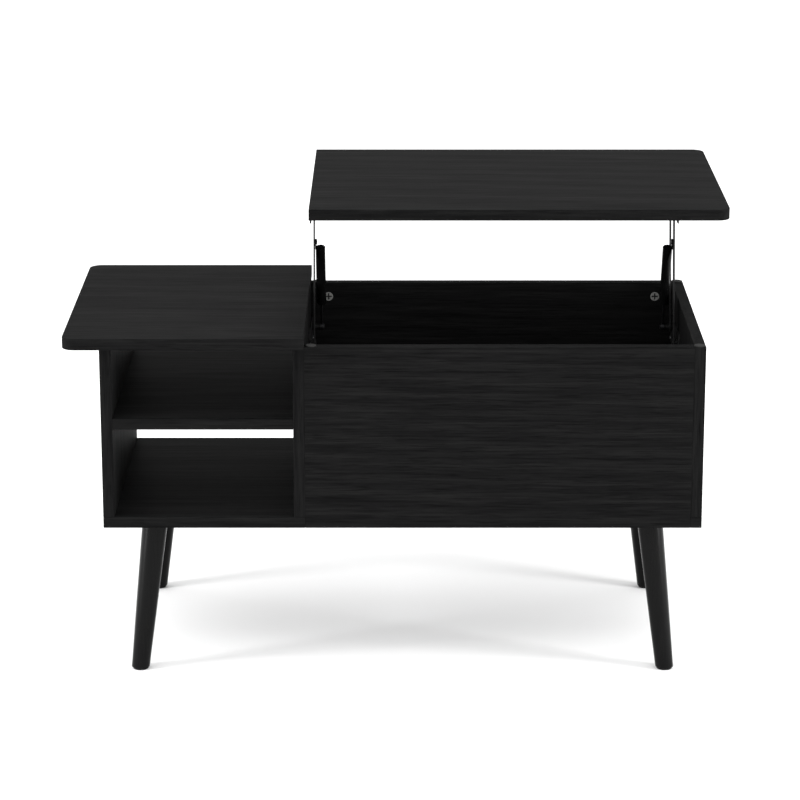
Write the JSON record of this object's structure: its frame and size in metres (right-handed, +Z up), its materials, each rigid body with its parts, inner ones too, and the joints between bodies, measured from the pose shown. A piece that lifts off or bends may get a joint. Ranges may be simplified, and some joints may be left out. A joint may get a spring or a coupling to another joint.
{
  "type": "lift top coffee table",
  "caption": "Black wood-grain coffee table on splayed legs, with open cubbies under a fixed top and a storage box whose top lifts up and back on spring arms.",
  "frame": {"origin": "on the floor under the middle of the raised table's footprint", "axes": "+X to the right along the table's width, +Y from the front to the back, +Z up"},
  "size_m": [1.058, 0.745, 0.709],
  "materials": {
    "laminate": "black wood-grain laminate, satin",
    "leg_lacquer": "black lacquer, satin",
    "mechanism_steel": "black coated, satin",
    "zinc": "zinc plated",
    "rod_steel": "bright drawn wire",
    "black_plastic": "black, moulded",
    "beech": "plain",
    "pad": "light grey, matt"
  },
  "bodies": {
    "cabinet": {"bottom_board": "laminate", "left_side_panel": "laminate", "divider_panel": "laminate", "right_side_panel": "laminate", "front_panel": "laminate", "rear_panel": "laminate", "shelf": "laminate", "fixed_top": "laminate", "front_left_leg": "leg_lacquer", "front_right_leg": "leg_lacquer", "rear_left_leg": "leg_lacquer", "rear_right_leg": "leg_lacquer", "leg_plates": "mechanism_steel", "leg_plate_screws": "zinc", "leg_bolts": "zinc", "leg_glides": "black_plastic", "cam_locks": "zinc", "cam_bolts": "zinc", "wood_dowels": "beech", "panel_screws": "zinc", "rim_bumpers": "pad", "base_plate_left": "mechanism_steel", "base_plate_right": "mechanism_steel", "base_plate_screws": "zinc", "lower_pivot_pins": "mechanism_steel"},
    "front_arms": {"front_arm_left": "mechanism_steel", "front_arm_right": "mechanism_steel", "spring_pins": "mechanism_steel"},
    "rear_arms": {"rear_arm_left": "mechanism_steel", "rear_arm_right": "mechanism_steel"},
    "lift_top": {"lift_top_panel": "laminate", "top_bracket_left": "mechanism_steel", "top_bracket_right": "mechanism_steel", "top_bracket_screws": "zinc", "upper_pivot_pins": "mechanism_steel"},
    "spring_sleeves": {"spring_sleeve_left": "black_plastic", "spring_sleeve_right": "black_plastic", "sleeve_caps": "black_plastic"},
    "spring_rods": {"spring_rod_left": "rod_steel", "spring_rod_right": "rod_steel"}
  },
  "joints": [
    {"name": "lift_hinge", "type": "hinge", "parent": "cabinet", "child": "front_arms", "pos_m": [0, -0.07, 0.474], "axis": [1, 0, 0], "range_deg": [0, 89.4]},
    {"name": "rear_arm_hinge", "type": "hinge", "parent": "cabinet", "child": "rear_arms", "pos_m": [0, 0.036, 0.474], "axis": [1, 0, 0], "range_deg": [0, 89.4]},
    {"name": "top_hinge", "type": "hinge", "parent": "front_arms", "child": "lift_top", "pos_m": [0, -0.0198, 0.67534], "axis": [1, 0, 0], "range_deg": [-89.4, 0]},
    {"name": "sleeve_hinge", "type": "hinge", "parent": "front_arms", "child": "spring_sleeves", "pos_m": [0, -0.02984, 0.63507], "axis": [1, 0, 0], "range_deg": [-29.56, 0]},
    {"name": "rod_hinge", "type": "hinge", "parent": "cabinet", "child": "spring_rods", "pos_m": [0, 0.036, 0.474], "axis": [1, 0, 0], "range_deg": [0, 59.86]}
  ],
  "couplings": [
    {"joint": "rear_arm_hinge", "follows": "lift_hinge", "ratio": 1},
    {"joint": "top_hinge", "follows": "lift_hinge", "ratio": -1},
    {"joint": "sleeve_hinge", "follows": "lift_hinge", "ratio": -0.3305},
    {"joint": "rod_hinge", "follows": "lift_hinge", "ratio": 0.6695}
  ]
}
